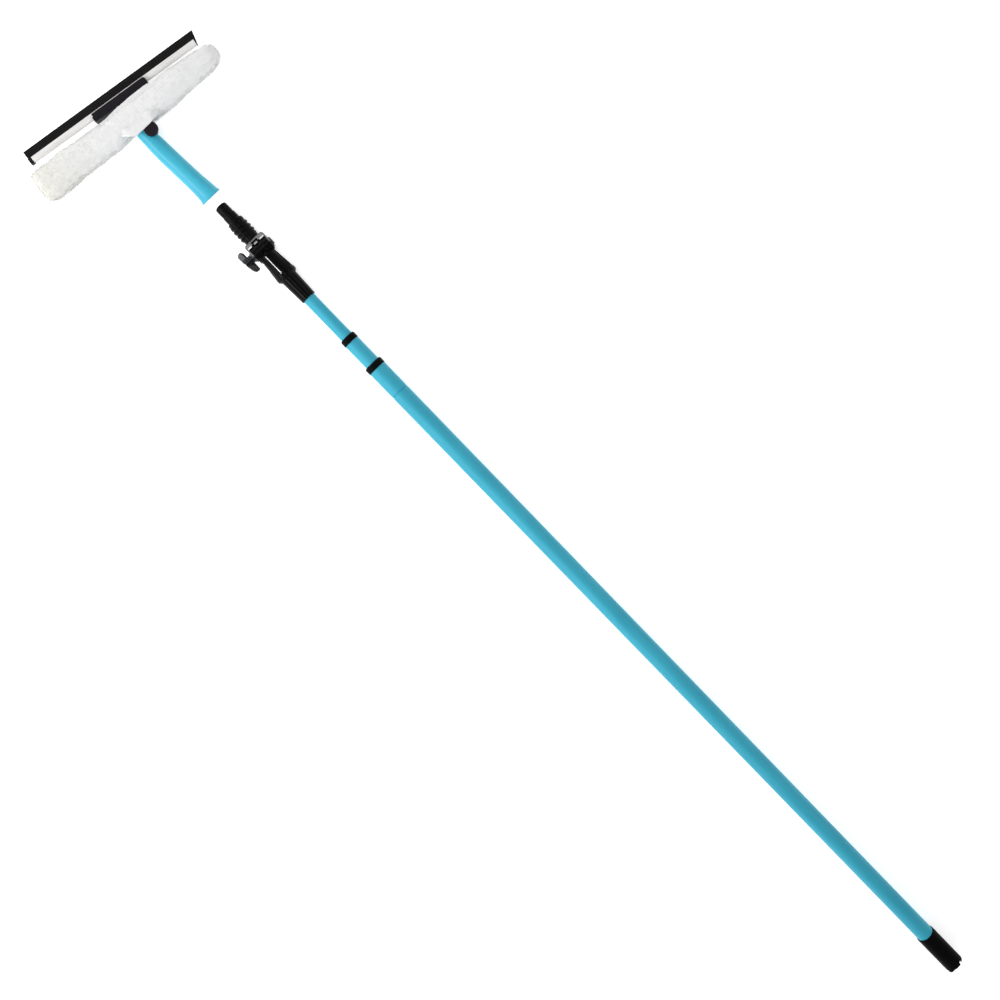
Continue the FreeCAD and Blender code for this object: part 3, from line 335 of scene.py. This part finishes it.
def pile_cloth(name, bright):
    """White microfibre pile: tone changes between strands, cream at the worn end, and a faint glow that is painted
    light.
    """
    kit = Shader(name)
    turn = math.atan2(HEAD_V.x, HEAD_V.y)
    clump = kit.noise(140.0, detail=5.0, roughness=0.65)
    strand = kit.noise(1500.0, detail=3.0)
    base = kit.ramp(clump, ((0.25, tuple(0.96 * c for c in bright)), (0.75, bright)))
    colour = kit.mix(kit.span(strand, 0.0, 0.2, 0.4, 0.7), base, (0.64, 0.65, 0.65))
    along = kit.node("ShaderNodeSeparateXYZ")
    kit.link(kit.stretched((1.0, 1.0, 1.0), turn), along.inputs["Vector"])
    end = SLEEVE_STATIONS[-1][0]
    worn, tip = [head_point(0, v, 0).dot(HEAD_V) for v in (end - CREAM_LENGTH, end)]
    cream = kit.span(along.outputs["Y"], 0.0, 0.9, worn, tip)
    patch = kit.node("ShaderNodeMath", operation="MULTIPLY")
    kit.link(cream, patch.inputs[0])
    kit.link(kit.span(clump, 0.6, 1.0, 0.35, 0.65), patch.inputs[1])
    colour = kit.mix(patch.outputs["Value"], colour, (0.56, 0.55, 0.49))
    # painted light: a faint white glow that lifts the shade between the strands
    kit.bsdf.inputs["Emission Color"].default_value = (0.95, 0.96, 0.96, 1.0)
    kit.bsdf.inputs["Emission Strength"].default_value = 0.04
    kit.bsdf.inputs["Sheen Weight"].default_value = 0.35
    kit.bsdf.inputs["Sheen Roughness"].default_value = 0.6
    kit.bsdf.inputs["Specular IOR Level"].default_value = 0.15
    return kit.finish(colour, 0.95, kit.bump(strand, 0.0003, 0.4))


def paint_nodes():
    """Gives every CAD node the finish of its material slot."""
    finishes = {
        "tube_teal": teal_tube(),
        "collar_black": black_plastic("collar", (0.002, 0.002, 0.002), 0.40, 0.55, 0.03),
        "cap_black": black_plastic("cap", (0.0015, 0.0015, 0.0015), 0.40, 0.55, 0.02),
        "adapter_black": black_plastic("adapter", (0.0018, 0.0015, 0.0018), 0.20, 0.34, 0.07),
        "zinc_steel": plated_steel("zinc_finish", 0.07, 0.2),
        "wing_metal": plated_steel("wing_finish", 0.022, 0.12),
        "handle_teal": teal_plastic(),
        "button_black": black_plastic("button", (0.012, 0.009, 0.013), 0.38, 0.52, 0.12),
        "spring_steel": plated_steel("spring_finish", 0.5, 0.3),
        "head_black": black_plastic("head", (0.003, 0.003, 0.003), 0.45, 0.6),
        "white_pile": pile_cloth("pile_finish", (0.67, 0.67, 0.67)),
        # painted highlight: near-white steel for the strips laid along the black ribs' edges
        "rib_edge": plated_steel("rib_highlight_finish", 0.85, 0.3),
        "clip_black": black_plastic("clip", (0.005, 0.004, 0.006), 0.34, 0.50, 0.12),
        "stainless": stainless(),
        "rubber_black": rubber(),
        "lock_plastic": nylon(),
    }
    for entry in frame["record"]["subparts"]:
        mesh = NODES[entry["node"]].data
        mesh.materials.clear()
        mesh.materials.append(finishes[entry["material_slot"]])
    return finishes


# ---- meshes -------------------------------------------------------------------------------
def add_piece(name, form):
    """A new object from a bmesh, linked to the scene."""
    mesh = bpy.data.meshes.new(name)
    form.to_mesh(mesh)
    form.free()
    piece = bpy.data.objects.new(name, mesh)
    bpy.context.scene.collection.objects.link(piece)
    return piece


def skin(form, rings):
    """Closed surface through a row of rings that all have the same number of points."""
    around = len(rings[0])
    for low, high in zip(rings, rings[1:]):
        for j in range(around):
            k = (j + 1) % around
            form.faces.new((low[j], low[k], high[k], high[j]))
    form.faces.new(rings[0][::-1])
    form.faces.new(rings[-1])


def smooth_sides(form):
    """Faces outwards and smooth shading, with the flat end caps left sharp."""
    bmesh.ops.recalc_face_normals(form, faces=form.faces)
    for face in form.faces:
        face.smooth = len(face.verts) == 4


# ---- washer sleeve ------------------------------------------------------------------------
# v along the blade, near edge u, far edge u and half height of the pile's outline, in mm
SLEEVE_STATIONS = (
    (-170.0, 39.0, 49.0, 5.0),
    (-168.0, 33.5, 55.5, 10.0),
    (-162.5, 27.6, 60.8, 14.5),
    (-153.0, 22.8, 65.6, 17.5),
    (-137.0, 18.6, 66.4, 18.4),
    (-119.0, 16.8, 67.2, 18.8),
    (-93.0, 14.0, 69.2, 19.2),
    (-68.0, 10.0, 71.4, 19.4),
    (-55.0, 8.4, 68.6, 19.4),
    (-25.0, 6.4, 67.0, 19.4),
    (9.0, 7.0, 66.9, 19.4),
    (30.0, 6.0, 65.6, 19.4),
    (44.0, 3.6, 65.2, 19.4),
    (60.0, 1.4, 63.6, 19.4),
    (76.0, 0.9, 65.6, 19.4),
    (92.0, 0.4, 65.6, 19.4),
    (110.0, 0.0, 65.2, 19.4),
    (151.0, -0.8, 65.8, 19.4),
    (168.0, -2.4, 62.4, 19.2),
    (190.0, -3.0, 62.0, 18.8),
    (200.0, -0.8, 61.6, 17.5),
    (207.0, 2.6, 60.4, 14.0),
    (211.0, 7.0, 57.0, 10.0),
    (213.0, 13.0, 48.0, 6.0),
)
CREAM_LENGTH = 130.0       # how much of the washed-out end has turned cream
PILE = 3.0                 # depth of the pile outside its backing
PILE_OVER = 0.7            # the part of that depth left above and below, where the pile lies down
LEAST_HALF = 2.0           # the backing stays at least this thick at its ends
SQUARENESS = 0.85          # 1 for an oval section, less for a squarer one

# the simulation, in metres and frames
VOXEL = 0.005
PRESSURE = 4.0
PUFF_FRAMES = 15
PUFF_MOST = 0.004

# depth and fineness of the clumps, and the least height of the pile over the floor
CLUMPS = ((0.0007, 70.0), (0.0004, 260.0))
CLUMP_FLOOR = 0.0012

# the strands, in metres
STRANDS = 26000
STRAND_SEED = 7
STRAND_LENGTH = (0.0026, 0.0052)
STRAND_WIDTH = (0.00035, 0.00060)
STRAND_ROOT = 0.0006       # how deep a strand starts in the backing
STRAND_FLOOR = 0.0006      # the least height of a tip over the floor
BRUSH_FINENESS = 45.0
STRAND_LEAN = (0.85, 0.5, 1.0)     # shares of the surface's normal, of chance and of the brush

# v and u along the edges of the two soft lips, over the button and over the clip
BUTTON_LIP = ((-34.0, 22.0), (-22.0, 12.0), (-10.0, 7.6), (9.5, 4.5), (21.6, 3.4), (27.0, 2.0),
              (38.0, 10.0), (56.0, 24.0))
CLIP_LIP = ((-56.0, 60.0), (-43.0, 64.8), (0.0, 63.4), (10.0, 62.2), (28.0, 61.0), (42.0, 58.6),
            (60.0, 56.0))
BUTTON_LIP_DEPTH = 34.0    # from the edge back over the sleeve, along u
CLIP_LIP_DEPTH = -9.0
LIP_THICKNESS = 1.6
LIP_GAP = 0.4              # between a lip and what it lies on
LIP_SINK = 0.5             # how deep its back is in the sleeve
LIP_FLAT = 0.3             # the part of its depth that stays level
LIP_EDGE = 0.15            # how thin its very edge is beside the rest
LIP_RISE = 24.0            # length over which a lip rises at each end
LIP_PILE = 0.35            # length of the strands on the lips beside that of the others
LIP_ROWS = 42              # steps of its mesh along v and along its depth
LIP_COLUMNS = 16
LIP_LOWEST = 1.0           # how far below the clip's top a lip's strands start
BUTTON_TOP = (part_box("swivel_button")[1].z - AXIS_Z) / MM
CLIP_TOP = (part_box("squeegee_clip")[1].z - AXIS_Z) / MM


def sleeve_frame(v):
    """Centre u, half width and half height of the backing at v."""
    table = np.array(SLEEVE_STATIONS)
    near, far, half_z = [float(np.interp(v, table[:, 0], table[:, i])) for i in (1, 2, 3)]
    half_u = (far - near) / 2
    half_z -= PILE * PILE_OVER
    return (near + far) / 2, max(half_u - PILE, LEAST_HALF), max(half_z, LEAST_HALF)


def sleeve_body():
    """Closed soft form over the T-bar, before the pile is added."""
    form = bmesh.new()
    around = 40
    count = 90
    first, last = SLEEVE_STATIONS[0][0] + PILE, SLEEVE_STATIONS[-1][0] - PILE
    rings = []
    for i in range(count + 1):
        part = 0.5 - 0.5 * math.cos(math.pi * i / count)   # finer steps at both ends
        v = first + (last - first) * part
        centre, half_u, half_z = sleeve_frame(v)
        ring = []
        for j in range(around):
            angle = 2 * math.pi * j / around
            u = centre + half_u * rounded(math.cos(angle))
            ring.append(form.verts.new(head_point(u, v, half_z * rounded(math.sin(angle)))))
        rings.append(ring)
    skin(form, rings)
    bmesh.ops.recalc_face_normals(form, faces=form.faces)
    return add_piece("washer_pile", form)


def rounded(value):
    """Turns a circle's sine or cosine into that of a slightly squarer oval."""
    return math.copysign(abs(value) ** SQUARENESS, value)


def pile_height(u, v):
    """Height over the axis of the backing's upper side."""
    centre, half_u, half_z = sleeve_frame(v)
    across = min(1.0, abs(u - centre) / half_u) ** (1.0 / SQUARENESS)
    return half_z * rounded(math.sqrt(1.0 - across ** 2))


def apply_modifiers(piece):
    graph = bpy.context.evaluated_depsgraph_get()
    graph.update()
    mesh = bpy.data.meshes.new_from_object(piece.evaluated_get(graph))
    piece.modifiers.clear()
    piece.data = mesh


def puff(piece, most):
    """Lets the padded form fill out under pressure, no point moving further than most."""
    remesh = piece.modifiers.new("remesh", "REMESH")
    remesh.mode = "VOXEL"
    remesh.voxel_size = VOXEL
    apply_modifiers(piece)
    start = np.array([v.co for v in piece.data.vertices])
    cloth = piece.modifiers.new("cloth", "CLOTH")
    cloth.settings.use_pressure = True
    cloth.settings.uniform_pressure_force = PRESSURE
    cloth.settings.effector_weights.gravity = 0.0
    cloth.settings.quality = 6
    scene = bpy.context.scene
    for step in range(1, PUFF_FRAMES + 1):
        scene.frame_set(step)
    apply_modifiers(piece)
    scene.frame_set(1)
    moved = np.array([v.co for v in piece.data.vertices])
    shift = moved - start
    far = np.linalg.norm(shift, axis=1, keepdims=True)
    nothing = 1e-9
    moved = start + shift * np.minimum(1.0, most / np.maximum(far, nothing))
    piece.data.vertices.foreach_set("co", moved.ravel())
    piece.data.update()


def clump_surface(piece):
    """Raises soft clumps of pile over the form, keeping it above the floor."""
    for vertex in piece.data.vertices:
        lift = sum(depth * noise.noise(vertex.co * fineness) for depth, fineness in CLUMPS)
        vertex.co += vertex.normal * lift
        vertex.co.z = max(vertex.co.z, CLUMP_FLOOR)
    piece.data.update()


def strand(form, root, tip, side, width):
    """One tapered three-sided strand."""
    along = (tip - root).normalized()
    across = along.cross(side).normalized()
    other = along.cross(across)
    ring = []
    for k in range(3):
        angle = 2 * math.pi * k / 3
        arm = across * math.cos(angle) + other * math.sin(angle)
        ring.append(form.verts.new(root + arm * width))
    end = form.verts.new(tip)
    for k in range(3):
        form.faces.new((ring[k], ring[(k + 1) % 3], end))


def surface_points(mesh, dice, count):
    """Random points spread evenly over a mesh, each with its triangle's normal."""
    mesh.calc_loop_triangles()
    triangles = mesh.loop_triangles
    reach = np.cumsum(np.array([t.area for t in triangles]))
    for _ in range(count):
        found = int(np.searchsorted(reach, dice.random() * reach[-1]))
        triangle = triangles[min(found, len(triangles) - 1)]
        a, b = dice.random(), dice.random()
        if a + b > 1.0:
            a, b = 1.0 - a, 1.0 - b
        first, second, third = [mesh.vertices[i].co for i in triangle.vertices]
        yield first + (second - first) * a + (third - first) * b, triangle.normal


def on_lip(root):
    """True on the two lips, the only pile as high as the clip's top."""
    return root.z > AXIS_Z + (CLIP_TOP - LIP_LOWEST) * MM


def sleeve_strands(body):
    """Pile strands over the backing, brushed loosely in drifting directions."""
    dice = random.Random(STRAND_SEED)
    out, chance, brushed = STRAND_LEAN
    downwards = -0.1
    form = bmesh.new()
    for root, normal in surface_points(body.data, dice, STRANDS):
        if on_lip(root) and normal.z < downwards:    # would grow into the button or the clip
            continue
        sway = Vector((dice.uniform(-1, 1), dice.uniform(-1, 1), dice.uniform(-1, 1)))
        spot = root * BRUSH_FINENESS
        brush = Vector((noise.noise(spot), noise.noise(spot + UP * 9.0), 0.0))
        lean = (normal * out + sway * chance + brush * brushed).normalized()
        length = dice.uniform(*STRAND_LENGTH)
        if on_lip(root):
            length *= LIP_PILE
        tip = root + lean * length
        tip.z = max(tip.z, STRAND_FLOOR)
        strand(form, root - normal * STRAND_ROOT, tip, sway, dice.uniform(*STRAND_WIDTH))
    return add_piece("washer_strands", form)


def smooth(part):
    """0 to 1 with a soft start and end."""
    part = min(1.0, max(0.0, part))
    return part * part * (3.0 - 2.0 * part)


def lip_height(u, v, top, part, side):
    """Height of the lip's upper side: part goes 0 to 1 from its edge back to the sleeve."""
    low = pile_height(u, v) - LIP_SINK
    high = top + LIP_THICKNESS + LIP_GAP
    return low + (high - low) * (1.0 - smooth((part - LIP_FLAT) / (1.0 - LIP_FLAT))) * side


def lip_layer(form, edge, depth, top, drop):
    """Rows of points of a lip's upper side, or of its lower side with drop its thickness."""
    places, reaches = zip(*edge)
    rows = []
    for i in range(LIP_ROWS + 1):
        v = places[0] + (places[-1] - places[0]) * i / LIP_ROWS
        side = smooth(min(v - places[0], places[-1] - v) / LIP_RISE)
        row = []
        for j in range(LIP_COLUMNS + 1):
            part = j / LIP_COLUMNS
            u = float(np.interp(v, places, reaches)) + depth * part
            thin = drop * min(1.0, LIP_EDGE + 3.0 * part)
            z = lip_height(u, v, top, part, side) - thin
            row.append(form.verts.new(head_point(u, v, z)))
        rows.append(row)
    return rows


def add_lip(piece, edge, depth, top):
    """Soft lip of the sleeve that lies over a neighbour's top as far as an edge."""
    across, along = LIP_COLUMNS, LIP_ROWS
    form = bmesh.new()
    form.from_mesh(piece.data)
    upper = lip_layer(form, edge, depth, top, 0.0)
    lower = lip_layer(form, edge, depth, top, LIP_THICKNESS)
    faces = []
    for rows in (upper, lower):
        for first, second in zip(rows, rows[1:]):
            faces += [(first[j], first[j + 1], second[j + 1], second[j]) for j in range(across)]
    rim = [(i, 0) for i in range(along)] + [(along, j) for j in range(across)]
    rim += [(i, across) for i in range(along, 0, -1)] + [(0, j) for j in range(across, 0, -1)]
    for (i, j), (k, m) in zip(rim, rim[1:] + rim[:1]):
        faces.append((upper[i][j], upper[k][m], lower[k][m], lower[i][j]))
    made = [form.faces.new(corners) for corners in faces]
    bmesh.ops.recalc_face_normals(form, faces=made)
    form.to_mesh(piece.data)
    form.free()


def washer_sleeve(finishes):
    """The padded sleeve with its lips and strands, in place of the plain CAD solid."""
    body = sleeve_body()
    puff(body, PUFF_MOST)
    divide = body.modifiers.new("divide", "SUBSURF")
    divide.levels = 1
    divide.render_levels = 1
    apply_modifiers(body)
    clump_surface(body)
    add_lip(body, BUTTON_LIP, BUTTON_LIP_DEPTH, BUTTON_TOP)
    add_lip(body, CLIP_LIP, CLIP_LIP_DEPTH, CLIP_TOP)
    for polygon in body.data.polygons:
        polygon.use_smooth = True
    body.data.materials.clear()
    body.data.materials.append(finishes["white_pile"])
    strands = sleeve_strands(body)
    strands.data.materials.append(finishes["white_pile"])
    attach(body, "head")
    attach(strands, "head")
    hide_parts("washer_sleeve")


# ---- screw tip ----------------------------------------------------------------------------
# distances ahead of the yoke's face and radii, in mm
THREAD_X = (6.5, 44.5)
THREAD_PITCH = 8.4
THREAD_ROOT_R = 14.6
THREAD_CREST_R = 16.4
THREAD_FADE = (4.0, 14.0)  # the ridge grows over the first length and fades over the second
RIDGE_HALF = 0.34          # half the ridge's width beside the pitch
TIP_STEPS = (
    (0.0, 13.0), (1.5, 14.2), (6.5, 14.2), (7.5, 14.6), (43.0, 14.6), (44.5, 12.6),
    (44.6, 11.9), (58.4, 11.8), (58.5, 10.4), (60.4, 10.4), (60.5, 11.1), (75.1, 11.1),
)
NOSE_R = 3.4
NOSE_STEPS = 8
OUTLINE_STEPS = 150


def tip_outline():
    """Plain outline of the tip, finely stepped, with a rounded nose."""
    length = (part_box("screw_tip")[1].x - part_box("screw_tip")[0].x) / MM
    table = np.array(TIP_STEPS)
    points = []
    for i in range(OUTLINE_STEPS + 1):
        x = (length - NOSE_R) * i / OUTLINE_STEPS
        points.append((x, float(np.interp(x, table[:, 0], table[:, 1]))))
    for i in range(1, NOSE_STEPS + 1):
        angle = math.radians(90 * i / NOSE_STEPS)
        points.append((length - NOSE_R + NOSE_R * math.sin(angle),
                       TIP_STEPS[-1][1] - NOSE_R + NOSE_R * math.cos(angle)))
    return points


def thread_lift(x, angle):
    """How far the screw ridge stands above its root at x and at an angle round the tip."""
    turn = ((x - THREAD_X[0]) / THREAD_PITCH - angle / (2 * math.pi)) % 1.0
    ridge = max(0.0, 1.0 - (abs(turn - 0.5) / RIDGE_HALF) ** 3)
    started = min(1.0, max(0.0, (x - THREAD_X[0]) / THREAD_FADE[0]))
    left = min(1.0, max(0.0, (THREAD_X[1] - x) / THREAD_FADE[1]))
    return (THREAD_CREST_R - THREAD_ROOT_R) * ridge * started * left


def screw_tip(finishes):
    """The tip with a true helical ridge in place of the plain rings."""
    form = bmesh.new()
    around = 72
    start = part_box("screw_tip")[0].x
    rings = []
    for x, radius in tip_outline():
        ring = []
        for j in range(around):
            angle = 2 * math.pi * j / around
            r = (radius + thread_lift(x, angle)) * MM
            ring.append(form.verts.new((start + x * MM, AXIS_Y + r * math.cos(angle),
                                        AXIS_Z + r * math.sin(angle))))
        rings.append(ring)
    skin(form, rings)
    smooth_sides(form)
    piece = add_piece("tip_thread", form)
    piece.data.materials.append(finishes["adapter_black"])
    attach(piece, "tip")
    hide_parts("screw_tip")


# ---- bright strips along the adapter's rib edges, a painted highlight -----------------------
FLARE_X = 57.5             # the flare's widest point, ahead of the adapter's back end, in mm
RIB_X = (1.0, 41.0)        # the edge's two ends, ahead of the flare's widest point
RIB_Y = 4.4
RIB_TOP = (18.95, 15.45)   # height over the axis at the two ends
RIB_R = 0.75
# places along the edge and sizes there beside RIB_R, so that both ends are rounded
RIB_SIZES = ((0.0, 0.2), (0.02, 0.8), (0.06, 1.0), (0.94, 1.0), (0.98, 0.8), (1.0, 0.2))


def rib_highlight_strips(finishes):
    """Rounded bright strip along the top of each of the four ribs: a painted highlight on the black ribs."""
    form = bmesh.new()
    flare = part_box("adapter_body")[0].x + FLARE_X * MM
    around = 10
    for quarter in range(4):
        spin = Matrix.Rotation(math.pi / 2 * quarter, 4, "X")
        rings = []
        for part, size in RIB_SIZES:
            x = RIB_X[0] + (RIB_X[1] - RIB_X[0]) * part
            top = RIB_TOP[0] + (RIB_TOP[1] - RIB_TOP[0]) * part
            ring = []
            for j in range(around):
                angle = 2 * math.pi * j / around
                spot = spin @ Vector((0.0, RIB_Y + RIB_R * size * math.cos(angle),
                                      top + RIB_R * size * math.sin(angle)))
                ring.append(form.verts.new((flare + x * MM, AXIS_Y + spot.y * MM,
                                            AXIS_Z + spot.z * MM)))
            rings.append(ring)
        skin(form, rings)
    smooth_sides(form)
    piece = add_piece("rib_highlight_strips", form)
    piece.data.materials.append(finishes["rib_edge"])
    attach(piece, "inner_pole")


# ---- build the scene ----------------------------------------------------------------------
make_camera()
make_light()
make_floor()
finishes = paint_nodes()
washer_sleeve(finishes)
screw_tip(finishes)
rib_highlight_strips(finishes)
